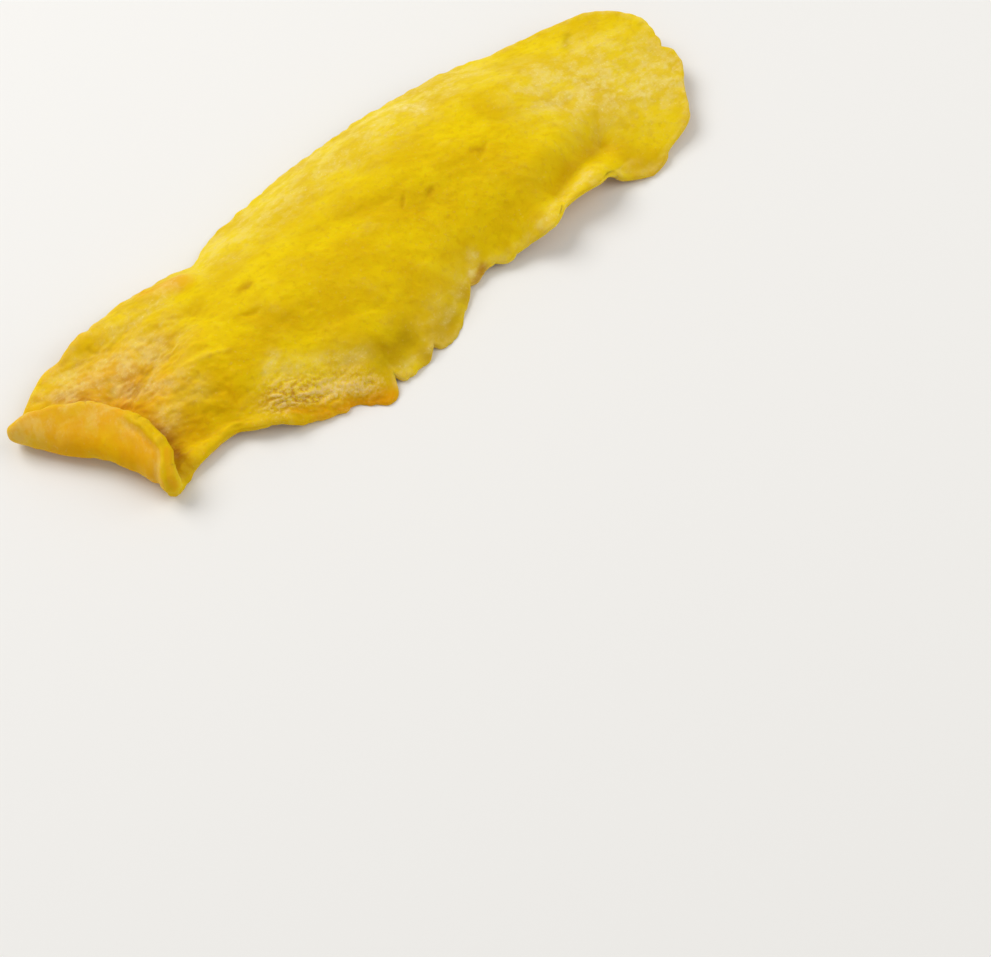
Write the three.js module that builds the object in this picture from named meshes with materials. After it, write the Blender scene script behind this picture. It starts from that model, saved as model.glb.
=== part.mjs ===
// One dried mango slice: a long cheek of ripe fruit, cut off beside the stone and dried to a
// leathery sheet. It lies cut side up as a low arch, thick in the middle and thin at its wavy edges,
// with a bay bitten into the near edge before the broad end, a torn fibrous crust on the near edge,
// and a narrow end that has curled up and over into a lip.
//
// Millimetres. X runs along the slice to its broad end, Y to its far edge, Z up. The origin is on
// the surface that it rests on, under the middle of its bounding box.
import * as THREE from "three";
import { mergeVertices } from "three/addons/utils/BufferGeometryUtils.js";

// Driving sizes
const sheetLength = 127; // of the slice laid out flat
const sheetWidth = 38;
const edgeTaper = 6.5; // how far in from the rim it has its full thickness
const rimRelief = 0.4; // share of the faces' relief that is left at the rim
const edgeThickness = profile([[-66, 1.5], [-50, 2.0], [-43, 1.4], [-30, 1.2], [40, 1.2], [54, 1.3]]);
const fullThickness = profile([[-66, 1.9], [-48, 2.5], [-30, 3.2], [28, 3.4], [54, 2.8]]);

// Facets along the slice, the first of them crowded into the part that curls, and across it
const stepsAlong = 90;
const curlSteps = 18;
const curlShare = 0.12; // of the length
const stepsAcross = 25;

// How far the flat slice reaches to its far side and to its near side, at places along its length
const farReach = profile([
  [-66, 4.4], [-61, 7.6], [-55, 11.7], [-49.5, 12.6], [-46, 14.0], [-40, 15.8], [-34, 16.3],
  [-30, 16.5], [-26, 16.4], [-20, 18.8], [-6, 21.5], [8, 22.4], [22, 21.3], [30, 20.6], [36, 19.8],
  [43, 18.4], [53, 15.8],
]);
const nearReach = profile([
  [-51, -16.1], [-48, -13.6], [-42, -12.2], [-37, -12.1], [-33, -14.4], [-28, -16.4], [-23, -17.3],
  [-19, -18.3], [-15.5, -20.6], [-11, -19.6], [-7, -19.1], [-3, -17.7], [1, -15.8], [6, -12.3],
  [10, -11.5], [16, -12.2], [20.5, -13.9], [26, -11.6], [33, -11.7], [37, -10.8], [40, -12.6],
  [44, -13.6],
]);

// Scallops of the outline: where on the edge each is, along it, with its half width and how far it
// stands out, or in where that is negative
const scallops = {
  near: [
    { at: -13.2, wide: 0.9, out: -2.2 }, { at: -9.6, wide: 1.0, out: -0.4 },
    { at: -5.2, wide: 1.0, out: -0.6 }, { at: 13.6, wide: 1.4, out: 0.5 },
  ],
  far: [
    { at: -26.2, wide: 1.8, out: -0.4 }, { at: -22.3, wide: 1.6, out: 0.5 },
    { at: -3, wide: 2.2, out: 0.5 }, { at: 10.8, wide: 1.6, out: 0.4 },
  ],
  broad: [
    { at: -11.4, wide: 0.9, out: -2.0 }, { at: -9.3, wide: 1.2, out: 0.5 },
    { at: -0.6, wide: 2.2, out: 1.1 }, { at: 3.4, wide: 1.0, out: -0.7 }, { at: 6, wide: 2.4, out: -0.9 },
  ],
};

// Both ends are rounded: where their corners lie along the slice, how far they bulge, to which side,
// towards the near edge below 1, and by which power, squarer as it grows. One more power keeps each
// bulge near its own end.
const narrowEnd = { near: -55, far: -65, bulge: 4.4, lean: 1.25, round: 2 };
const broadEnd = { near: 42, far: 52, bulge: 10.2, lean: 0.8, round: 3.5 };
const endPower = 5;

// Heights of the slice's middle layer: along each edge, and of the arch between them
const nearHeight = profile([
  [-52, 1.3], [-44, 1.5], [-36, 2.4], [-24, 1.0], [-8, 0.7], [4, 1.2], [16, 3.0],
  [29, 4.4], [36, 2.6], [43, 0.9], [54, 2.6],
]);
const farHeight = profile([
  [-63, 1.6], [-50, 2.6], [-36, 1.6], [-22, 0.9], [-8, 0.9], [8, 2.2], [22, 3.6],
  [36, 3.0], [48, 4.2], [58, 5.2],
]);
const archHeight = profile([
  [-62, -0.3], [-50, 0.4], [-40, 2.8], [-28, 5.2], [-12, 6.2], [6, 6.0], [22, 4.6],
  [36, 3.2], [48, 1.6], [56, 0.4],
]);

// Folds of the whole sheet, as it shrank: from one point to another in plan, each with its reach to
// either side and its rise
const folds = [
  { from: [25, -8.8], to: [37, -5.1], reach: 2.8, rise: -2.2 }, // trough that runs in from the bay
  { from: [20.5, -13.9], to: [33.5, -10.9], reach: 2.4, rise: 1.5 }, // upturned rim of the bay
  { from: [-49, 13.4], to: [-30, 12.6], reach: 2.2, rise: 1.3 }, // shoulder along the far edge
  { from: [-48.5, 0.6], to: [-32, 4.4], reach: 3.2, rise: -1.4 }, // trough that runs down to the lip
  { from: [-48, -9.3], to: [-33, -10.3], reach: 3.0, rise: -0.9 }, // hollow inside the near edge
  { from: [-44, -12.4], to: [-30, -15.6], reach: 1.7, rise: 0.7 }, // upturned near edge
  { from: [-20, 10.3], to: [7, 0.8], reach: 3.8, rise: -0.45 },
  { from: [-26, -3.2], to: [-5, -11.7], reach: 3.8, rise: -0.45 },
  { from: [12, 8.8], to: [34, 2.8], reach: 3.6, rise: -0.45 },
  { from: [-10, 16.3], to: [14, 17.3], reach: 3.0, rise: 0.5 },
];

// The narrow end curls up about this line, which runs from the far edge to the near edge and bows
// in towards the slice on the way: tightly at first, up to a turn in degrees, and loosely beyond that
const curl = { from: [-61.5, 7.6], to: [-48.2, -12.6], tight: 2.2, turn: 160, loose: 14 };
const curlBow = { most: 1.5, lean: 1.5 };

// Creases and small ridges of the cut face alone
const creases = [
  { from: [-53.8, 6.4], to: [-51, 7.1], reach: 1.8, rise: -0.4 },
  { from: [-38.1, 0.4], to: [-27.5, -2.3], reach: 1.8, rise: 0.36 },
  { from: [-24.2, 5.8], to: [-20.8, 6.1], reach: 1.8, rise: -0.36 },
  { from: [-26.8, 2.2], to: [-23, 0.8], reach: 1.8, rise: -0.4 },
  { from: [-17.9, 6.3], to: [-8.1, 4.4], reach: 1.8, rise: -0.29 },
  { from: [-2.4, 4.8], to: [4.2, 3.6], reach: 1.8, rise: -0.4 },
  { from: [7.6, 0.7], to: [9.6, 1.5], reach: 1.8, rise: -0.36 },
  { from: [-0.4, 10.9], to: [5.0, 9.1], reach: 2.2, rise: -0.43 },
  { from: [10.8, 11.9], to: [17, 10.9], reach: 2.2, rise: -0.36 },
  { from: [20.8, 4.0], to: [19.6, 0.9], reach: 1.8, rise: -0.43 },
  { from: [45.2, 12.6], to: [43.6, 9.6], reach: 1.8, rise: -0.58 },
  { from: [32.2, 3.8], to: [38.8, 2.0], reach: 1.8, rise: -0.36 },
  { from: [-1.0, -14.8], to: [6, -11.2], reach: 1.8, rise: -0.36 },
  { from: [-22, -12.4], to: [-13, -15.0], reach: 1.8, rise: -0.5 }, // groove behind the crust
];

// The crust: torn fibres that dried into a thick lumpy strip along the near edge, with a blunt end
const crust = { from: [-29, -13.0], to: [-15.8, -19.2], reach: 2.9, rise: 1.0, blunt: 0.5 };
const crustLumps = { long: 2.6, wide: 2.1, high: 0.6 };

// Wrinkles drawn out along the fibres: length, width and height of each size
const wrinkles = [
  { long: 22, wide: 6, high: 0.3 },
  { long: 9, wide: 3.6, high: 0.22 },
];
const skinWrinkles = [{ long: 16, wide: 4.2, high: 0.4 }];
const rimWaves = [
  { long: 9, high: 0.5 },
  { long: 4.2, high: 0.28 },
];
const sway = { long: 12, wide: 9, high: 0.5 }; // of the whole sheet, up and down
const settle = 0.5; // how far its own weight has pressed it down on what it lies on

// A smooth curve through [place, value] stations, level beyond the first and the last
function profile(stations) {
  const last = stations.length - 1;
  const slope = (i) => {
    const [a, b] = [stations[Math.max(i - 1, 0)], stations[Math.min(i + 1, last)]];
    return (b[1] - a[1]) / (b[0] - a[0]);
  };
  return (place) => {
    const x = THREE.MathUtils.clamp(place, stations[0][0], stations[last][0]);
    let i = 0;
    while (i < last - 1 && x > stations[i + 1][0]) i++;
    const [x0, y0] = stations[i];
    const [x1, y1] = stations[i + 1];
    const t = (x - x0) / (x1 - x0);
    const ease = t * t * (3 - 2 * t);
    const bendIn = t * (1 - t) * (1 - t) * (x1 - x0) * slope(i);
    const bendOut = t * t * (t - 1) * (x1 - x0) * slope(i + 1);
    return y0 + (y1 - y0) * ease + bendIn + bendOut;
  };
}

// A value from -1 to 1 for a whole-numbered place, the same on every run
function lattice(i, j) {
  const n = Math.sin(i * 127.1 + j * 311.7) * 43758.5453;
  return 2 * (n - Math.floor(n)) - 1;
}

// Smooth noise from -1 to 1 over a plane
function noise(x, y) {
  const [i, j] = [Math.floor(x), Math.floor(y)];
  const ease = (t) => t * t * (3 - 2 * t);
  const [s, t] = [ease(x - i), ease(y - j)];
  const near = lattice(i, j) * (1 - s) + lattice(i + 1, j) * s;
  const far = lattice(i, j + 1) * (1 - s) + lattice(i + 1, j + 1) * s;
  return near * (1 - t) + far * t;
}

// A bump along the line from one point to another, 1 on the line and fading to either side
function along(line, x, y) {
  const [dx, dy] = [line.to[0] - line.from[0], line.to[1] - line.from[1]];
  const raw = ((x - line.from[0]) * dx + (y - line.from[1]) * dy) / (dx * dx + dy * dy);
  const t = THREE.MathUtils.clamp(raw, 0, 1);
  const away = Math.hypot(x - line.from[0] - t * dx, y - line.from[1] - t * dy);
  return Math.exp(-((away / line.reach) ** 2));
}

// Plan of the flat sheet: u runs from the narrow end to the broad end, v from the near edge to the
// far edge, both from 0 to 1. The four edges are blended across it.
function plan(u, v) {
  const { lerp } = THREE.MathUtils;
  const wave = (place, row) => rimWaves.reduce(
    (sum, w, k) => sum + w.high * noise(place / w.long, row + 3.5 * k), 0,
  );
  const scalloped = (list, place) => list.reduce(
    (sum, s) => sum + s.out * Math.exp(-(((place - s.at) / s.wide) ** 2)), 0,
  );
  const near = lerp(narrowEnd.near, broadEnd.near, u);
  const far = lerp(narrowEnd.far, broadEnd.far, u);
  const nearOut = wave(u * sheetLength, 7) * Math.sin(Math.PI * u) + scalloped(scallops.near, near);
  const farOut = wave(u * sheetLength, 14) * Math.sin(Math.PI * u) + scalloped(scallops.far, far);
  const y = lerp(nearReach(near) - nearOut, farReach(far) + farOut, v);
  const bulge = (end, row) => {
    const round = 1 - Math.abs(2 * v ** end.lean - 1) ** end.round;
    return end.bulge * round + wave(v * sheetWidth, row) * Math.sin(Math.PI * v);
  };
  const broadOut = bulge(broadEnd, 21) + scalloped(scallops.broad, y);
  return [lerp(near, far, v) + broadOut * u ** endPower - bulge(narrowEnd, 28) * (1 - u) ** endPower, y];
}

// Height of the sheet's middle layer over a place in plan, before the narrow end curls
function height(x, y) {
  const [near, far] = [nearReach(x), farReach(x)];
  const across = (y - near) / (far - near);
  const arch = 1 - (2 * across - 1) ** 2;
  let z = THREE.MathUtils.lerp(nearHeight(x), farHeight(x), across) + archHeight(x) * arch - settle;
  for (const fold of folds) z += fold.rise * along(fold, x, y);
  return z + sway.high * noise(x / sway.long + 5, y / sway.wide) * arch;
}

// The middle layer as it lies: carried round the curl where it is beyond the line of it
function layer(x, y) {
  const z = height(x, y);
  const [ax, ay] = curl.from;
  const [bx, by] = curl.to;
  const long = Math.hypot(bx - ax, by - ay);
  const out = [(by - ay) / long, (ax - bx) / long];
  const share = ((x - ax) * (bx - ax) + (y - ay) * (by - ay)) / long ** 2;
  const bow = Math.sin(Math.PI * THREE.MathUtils.clamp(share, 0, 1) ** curlBow.lean) * curlBow.most;
  const beyond = (x - ax) * out[0] + (y - ay) * out[1] + bow;
  if (beyond <= 0) return new THREE.Vector3(x, y, z);
  const most = THREE.MathUtils.degToRad(curl.turn);
  const turn = Math.min(beyond / curl.tight, most);
  const later = most + Math.max(beyond - curl.tight * most, 0) / curl.loose;
  const reach = curl.tight * Math.sin(turn) + curl.loose * (Math.sin(later) - Math.sin(most));
  const rise = curl.tight * (1 - Math.cos(turn)) + curl.loose * (Math.cos(most) - Math.cos(later));
  return new THREE.Vector3(x + (reach - beyond) * out[0], y + (reach - beyond) * out[1], z + rise);
}

// Noise drawn out along the slice, of one size
function grain(size, x, y, shift) {
  return size.high * noise(x / size.long + shift, y / size.wide + shift);
}

// Height of the relief on the cut face, above the smooth sheet
function cutFace(x, y) {
  let high = wrinkles.reduce((sum, size, k) => sum + grain(size, x, y, 9 * k), 0);
  for (const crease of creases) high += crease.rise * along(crease, x, y);
  const stop = 1 / (1 + Math.exp((x - crust.to[0]) / crust.blunt));
  return high + (crust.rise + grain(crustLumps, x, y, 3)) * stop * along(crust, x, y);
}

// Height of the relief on the skin side, below the smooth sheet
function skinFace(x, y) {
  return skinWrinkles.reduce((sum, size) => sum + grain(size, x, y, 30), 0);
}

// Which way is out of the sheet's outline, in plan, at a point of its rim
function outOfRim(u, v) {
  const step = 1e-3;
  const out = new THREE.Vector2();
  if (v === 0 || v === 1) {
    const [x0, y0] = plan(Math.max(u - step, 0), v);
    const [x1, y1] = plan(Math.min(u + step, 1), v);
    out.add(new THREE.Vector2(y1 - y0, x0 - x1).normalize().multiplyScalar(1 - 2 * v));
  }
  if (u === 0 || u === 1) {
    const [x0, y0] = plan(u, Math.max(v - step, 0));
    const [x1, y1] = plan(u, Math.min(v + step, 1));
    out.add(new THREE.Vector2(y1 - y0, x0 - x1).normalize().multiplyScalar(2 * u - 1));
  }
  return out.normalize();
}

// A point of the slice: u and v place it on the sheet, and side is 1 on the cut face, -1 on the skin
// side and 0 halfway down the rim, which is rounded
function slicePoint(u, v, side) {
  const { lerp } = THREE.MathUtils;
  const [x, y] = plan(u, v);
  const step = 0.05;
  const lengthwise = layer(x + step, y).sub(layer(x - step, y)).normalize();
  const crosswise = layer(x, y + step).sub(layer(x, y - step)).normalize();
  const up = new THREE.Vector3().crossVectors(lengthwise, crosswise).normalize();
  const fromEnds = Math.min(u, 1 - u) * sheetLength;
  const fromEdges = Math.min(v, 1 - v) * (farReach(x) - nearReach(x));
  const full = 1 - Math.exp(-((Math.min(fromEnds, fromEdges) / edgeTaper) ** 2));
  const thin = edgeThickness(x);
  const thickness = lerp(thin, fullThickness(x), full);
  const relief = (side > 0 ? cutFace(x, y) : skinFace(x, y)) * lerp(rimRelief, 1, full);
  const point = layer(x, y).addScaledVector(up, side * (thickness / 2 + relief));
  if (side !== 0) return point;
  const out = outOfRim(u, v);
  const outward = lengthwise.multiplyScalar(out.x).addScaledVector(crosswise, out.y).normalize();
  return point.addScaledVector(outward, thin / 2);
}

// Where a facet corner lies along the slice, from the share of the block that it lies at
function crowded(share) {
  const split = curlSteps / stepsAlong;
  if (share < split) return (share / split) * curlShare;
  return THREE.MathUtils.mapLinear(share, split, 1, curlShare, 1);
}

// The slice is a block of one by one by one, cut into facets, with each corner moved to its place.
// What would reach below the floor is pressed flat on it, as on a drying tray.
function sliceGeometry() {
  const block = new THREE.BoxGeometry(1, 1, 1, stepsAlong, stepsAcross, 2);
  block.deleteAttribute("normal");
  block.deleteAttribute("uv");
  const solid = mergeVertices(block, 1e-5);
  const corners = solid.getAttribute("position");
  for (let i = 0; i < corners.count; i++) {
    const u = crowded(THREE.MathUtils.clamp(corners.getX(i) + 0.5, 0, 1));
    const v = THREE.MathUtils.clamp(corners.getY(i) + 0.5, 0, 1);
    const side = Math.round(corners.getZ(i) * 2);
    const point = slicePoint(u, v, side);
    corners.setXYZ(i, point.x, point.y, Math.max(point.z, 0));
  }
  solid.computeBoundingBox();
  const centre = solid.boundingBox.getCenter(new THREE.Vector3());
  solid.translate(-centre.x, -centre.y, 0);
  solid.computeVertexNormals();
  return solid;
}

const driedFlesh = new THREE.MeshStandardMaterial({ color: 0xe3b81c, roughness: 0.55, metalness: 0 });
const slice = new THREE.Mesh(sliceGeometry(), driedFlesh);
slice.name = "mango_slice";

const driedMango = new THREE.Group();
driedMango.add(slice);

export default driedMango;
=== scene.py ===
# A dried mango slice on a pale studio table: the leathery sheet with its fibres, creases, torn crust
# and sugar bloom as one fine mesh, the look of dried fruit flesh, soft light and the photo's camera.
import math

import bpy
import numpy as np
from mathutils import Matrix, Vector


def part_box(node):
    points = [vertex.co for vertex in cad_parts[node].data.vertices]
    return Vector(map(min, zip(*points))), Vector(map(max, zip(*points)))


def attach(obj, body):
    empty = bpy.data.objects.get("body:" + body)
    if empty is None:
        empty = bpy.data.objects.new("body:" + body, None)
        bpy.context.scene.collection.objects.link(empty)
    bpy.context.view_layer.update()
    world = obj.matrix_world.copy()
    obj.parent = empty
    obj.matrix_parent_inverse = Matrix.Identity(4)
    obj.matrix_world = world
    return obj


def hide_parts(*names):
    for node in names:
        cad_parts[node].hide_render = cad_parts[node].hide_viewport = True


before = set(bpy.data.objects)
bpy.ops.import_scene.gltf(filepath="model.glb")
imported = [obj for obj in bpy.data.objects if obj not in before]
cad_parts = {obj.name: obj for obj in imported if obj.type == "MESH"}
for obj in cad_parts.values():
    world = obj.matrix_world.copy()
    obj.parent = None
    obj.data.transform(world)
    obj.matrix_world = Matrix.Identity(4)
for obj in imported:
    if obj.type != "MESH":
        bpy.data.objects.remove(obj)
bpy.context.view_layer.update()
print("Frame loaded:", sorted(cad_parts))

millimetre = 0.001

# The camera looks down on the slice from where the photograph was taken, so that the slice lies at
# the same place in the picture
photoView = {
    "elevation": 62.0,  # degrees above the table
    "turn": 38.0,  # how far the slice's length is turned from the picture's level, in degrees
    "lens": 65.0,  # mm
    "sensor": 36.0,  # mm
    "clip": (0.01, 20.0),  # m
    "pictureWidth": 991,  # pixels
    "mmPerPixel": 0.145,  # on the table, at the middle of the picture
    "aim": (-9.05, -41.81),  # mm, the point of the table in the middle of the picture
}


def makeCamera(view):
    pixels = view["lens"] / view["sensor"] * view["pictureWidth"]
    distance = view["mmPerPixel"] * pixels * millimetre
    elevation = math.radians(view["elevation"])
    turn = math.radians(view["turn"])
    level = Vector((math.sin(turn), math.cos(turn), 0))
    look = level * math.cos(elevation) - Vector((0, 0, math.sin(elevation)))
    aim = Vector((view["aim"][0], view["aim"][1], 0)) * millimetre
    data = bpy.data.cameras.new("photoCamera")
    data.lens = view["lens"]
    data.sensor_width = view["sensor"]
    data.clip_start, data.clip_end = view["clip"]
    camera = bpy.data.objects.new("photoCamera", data)
    bpy.context.scene.collection.objects.link(camera)
    camera.location = aim - look * distance
    camera.rotation_mode = "QUATERNION"
    camera.rotation_quaternion = look.to_track_quat("-Z", "Y")
    bpy.context.scene.camera = camera


makeCamera(photoView)
print("Camera placed")


def profile(stations):
    # A smooth curve through [place, value] stations, level beyond the first and the last
    places, values = np.array(stations, float).T
    last = len(places) - 1
    before = np.maximum(np.arange(last + 1) - 1, 0)
    after = np.minimum(np.arange(last + 1) + 1, last)
    slopes = (values[after] - values[before]) / (places[after] - places[before])

    def curve(place):
        x = np.clip(place, places[0], places[-1])
        i = np.clip(np.searchsorted(places, x, side="left") - 1, 0, last - 1)
        span = places[i + 1] - places[i]
        t = (x - places[i]) / span
        ease = t * t * (3 - 2 * t)
        bendIn = t * (1 - t) ** 2 * span * slopes[i]
        bendOut = t * t * (t - 1) * span * slopes[i + 1]
        return values[i] + (values[i + 1] - values[i]) * ease + bendIn + bendOut

    return curve


scatter = {"i": 127.1, "j": 311.7, "spread": 43758.5453}  # uneven, so that neighbours differ


def lattice(i, j):
    # A value from -1 to 1 for a whole-numbered place, the same on every run
    n = np.sin(i * scatter["i"] + j * scatter["j"]) * scatter["spread"]
    return 2 * (n - np.floor(n)) - 1


def noise(x, y):
    i, j = np.floor(x), np.floor(y)
    s, t = x - i, y - j
    s, t = s * s * (3 - 2 * s), t * t * (3 - 2 * t)
    near = lattice(i, j) * (1 - s) + lattice(i + 1, j) * s
    far = lattice(i, j + 1) * (1 - s) + lattice(i + 1, j + 1) * s
    return near * (1 - t) + far * t


def softNoise(x, y, seed):
    # Rounder than noise and without its grid, from about -1 to 1
    i, j = np.floor(x), np.floor(y)
    s, t = x - i, y - j

    def pull(right, up):
        turn = math.pi * lattice(i + right + seed, j + up - seed)
        return np.cos(turn) * (s - right) + np.sin(turn) * (t - up)

    easeS, easeT = (a ** 3 * (a * (6 * a - 15) + 10) for a in (s, t))
    near = pull(0, 0) * (1 - easeS) + pull(1, 0) * easeS
    far = pull(0, 1) * (1 - easeS) + pull(1, 1) * easeS
    stretch = 1.5
    return stretch * (near * (1 - easeT) + far * easeT)


def awayFrom(line, x, y):
    # How far along the line from one point to another a place lies, from 0 to 1, and how far off it
    (ax, ay), (bx, by) = line["from"], line["to"]
    dx, dy = bx - ax, by - ay
    t = np.clip(((x - ax) * dx + (y - ay) * dy) / (dx * dx + dy * dy), 0, 1)
    return t, np.hypot(x - ax - t * dx, y - ay - t * dy)


def along(line, x, y):
    # 1 on the line from one point to another, and fading to either side of it
    return np.exp(-((awayFrom(line, x, y)[1] / line["reach"]) ** 2))


def wrinkle(line, x, y):
    # As along, but narrow and shallow at both ends, as a crease in shrunk flesh is
    t, away = awayFrom(line, x, y)
    ends = 0.35
    swell = ends + (1 - ends) * np.sin(math.pi * t)
    return swell * np.exp(-((away / (line["reach"] * swell)) ** 2))


def grain(size, x, y, seed):
    return size["high"] * noise(x / size["long"] + seed, y / size["wide"] + seed)


def fade(value, start, end):
    # Softly from 0 at start to 1 at end
    t = np.clip((value - start) / (end - start), 0, 1)
    return t * t * (3 - 2 * t)


def lumps(size, x, y, seed):
    return size["high"] * softNoise(x / size["long"], y / size["wide"], seed)


def ridged(size, x, y, seed):
    # Rounded swells parted by narrow grooves
    steep, grooved = 2.4, 0.6
    swells = np.abs(softNoise(x / size["long"], y / size["wide"], seed))
    return size["high"] * (steep * swells - grooved)


def layered(kind, sizes, x, y, seed):
    # Several sizes of one kind of relief, each from a noise of its own
    first, step = seed
    return sum(kind(size, x, y, first + step * k) for k, size in enumerate(sizes))


# Where each relief's noise starts, so that no two are alike; a pair has the step from size to size
seeds = {
    "wrinkles": (0, 9), "skinWrinkles": (30, 0), "fibres": (60, 7), "pores": (80, 5),
    "threads": (90, 5), "puckers": (110, 7),
    "sway": 5, "fibreSway": 50, "crustLumps": 3, "creases": 21, "bead": 140, "rimLumps": 160,
    "near": 7, "far": 14, "broad": 21, "narrow": 28, "nextWave": 3.5,
}


# The sheet: all in millimetres, x along the slice to its broad end and y to its far edge
sheet = {
    "length": 127,  # laid out flat
    "width": 38,
    "edgeTaper": 6.5,  # how far in from the rim it has its full thickness
    "rimRelief": 0.4,  # share of the faces' relief that is left at the rim
    "edgeThickness": profile([(-66, 1.5), (-50, 2.0), (-43, 1.4), (-30, 1.2), (40, 1.2), (54, 1.3)]),
    "fullThickness": profile([(-66, 1.9), (-48, 2.5), (-30, 3.2), (28, 3.4), (54, 2.8)]),
    "farReach": profile([
        (-66, 4.4), (-61, 7.6), (-55, 11.7), (-49.5, 12.6), (-46, 14.0), (-40, 15.8), (-34, 16.3),
        (-30, 16.5), (-26, 16.4), (-20, 18.8), (-6, 21.5), (8, 22.4), (22, 21.3), (30, 20.6),
        (36, 19.8), (43, 18.4), (53, 15.8),
    ]),
    "nearReach": profile([
        (-51, -16.1), (-48, -13.6), (-42, -12.2), (-37, -12.1), (-33, -14.4), (-28, -16.4),
        (-23, -17.3), (-19, -18.3), (-15.5, -20.6), (-11, -19.6), (-7, -19.1), (-3, -17.7),
        (1, -15.8), (6, -12.3), (10, -11.5), (16, -12.2), (20.5, -13.9), (26, -11.6), (33, -11.7),
        (37, -10.8), (40, -12.6), (44, -13.6),
    ]),
    "scallops": {  # of the outline: where each is on its edge, its half width and how far out it is
        "near": [
            {"at": -13.2, "wide": 0.9, "out": -2.2}, {"at": -9.6, "wide": 1.0, "out": -0.4},
            {"at": -5.2, "wide": 1.0, "out": -0.6}, {"at": 13.6, "wide": 1.4, "out": 0.5},
        ],
        "far": [
            {"at": -26.2, "wide": 1.8, "out": -0.4}, {"at": -22.3, "wide": 1.6, "out": 0.5},
            {"at": -3, "wide": 2.2, "out": 0.5}, {"at": 10.8, "wide": 1.6, "out": 0.4},
        ],
        "broad": [
            {"at": -11.4, "wide": 0.9, "out": -2.0}, {"at": -9.3, "wide": 1.2, "out": 0.5},
            {"at": -0.6, "wide": 2.2, "out": 1.1}, {"at": 3.4, "wide": 1.0, "out": -0.7},
            {"at": 6, "wide": 2.4, "out": -0.9},
        ],
    },
    "narrowEnd": {"near": -55, "far": -65, "bulge": 4.4, "lean": 1.25, "round": 2},
    "broadEnd": {"near": 42, "far": 52, "bulge": 10.2, "lean": 0.8, "round": 3.5},
    "endPower": 5,  # keeps each end's bulge near that end
    "nearHeight": profile([
        (-52, 1.3), (-44, 1.5), (-36, 2.4), (-24, 1.0), (-8, 0.7), (4, 1.2), (16, 3.0),
        (29, 4.4), (36, 2.6), (43, 0.9), (54, 2.6),
    ]),
    "farHeight": profile([
        (-63, 1.6), (-50, 2.6), (-36, 1.6), (-22, 0.9), (-8, 0.9), (8, 2.2), (22, 3.6),
        (36, 3.0), (48, 4.2), (58, 5.2),
    ]),
    "archHeight": profile([
        (-62, -0.3), (-50, 0.4), (-40, 2.8), (-28, 5.2), (-12, 6.2), (6, 6.0), (22, 4.6),
        (36, 3.2), (48, 1.6), (56, 0.4),
    ]),
    "sway": {"long": 12, "wide": 9, "high": 0.5},
    "settle": 0.5,
    "curl": {"from": (-61.5, 7.6), "to": (-48.2, -12.6), "tight": 2.2, "turn": 160, "loose": 14},
    "curlBow": {"most": 1.5, "lean": 1.5},
    "folds": [
        {"from": (25, -8.8), "to": (37, -5.1), "reach": 2.8, "rise": -2.2},
        {"from": (20.5, -13.9), "to": (33.5, -10.9), "reach": 2.4, "rise": 1.5},
        {"from": (-49, 13.4), "to": (-30, 12.6), "reach": 2.2, "rise": 1.3},
        {"from": (-48.5, 0.6), "to": (-32, 4.4), "reach": 3.2, "rise": -1.4},
        {"from": (-48, -9.3), "to": (-33, -10.3), "reach": 3.0, "rise": -0.9},
        {"from": (-44, -12.4), "to": (-30, -15.6), "reach": 1.7, "rise": 0.7},
        {"from": (-20, 10.3), "to": (7, 0.8), "reach": 3.8, "rise": -0.45},
        {"from": (-26, -3.2), "to": (-5, -11.7), "reach": 3.8, "rise": -0.45},
        {"from": (12, 8.8), "to": (34, 2.8), "reach": 3.6, "rise": -0.45},
        {"from": (-10, 16.3), "to": (14, 17.3), "reach": 3.0, "rise": 0.5},
    ],
    "wrinkles": [
        {"long": 22, "wide": 6, "high": 0.3},
        {"long": 9, "wide": 3.6, "high": 0.22},
    ],
    "skinWrinkles": [{"long": 16, "wide": 4.2, "high": 0.4}],
    "rimWaves": [  # the last three are frills, finer than the solid's facets
        {"long": 9, "high": 0.5},
        {"long": 4.2, "high": 0.28},
        {"long": 2.4, "high": 0.44},
        {"long": 1.3, "high": 0.24},
        {"long": 0.7, "high": 0.07},
    ],
}

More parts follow.
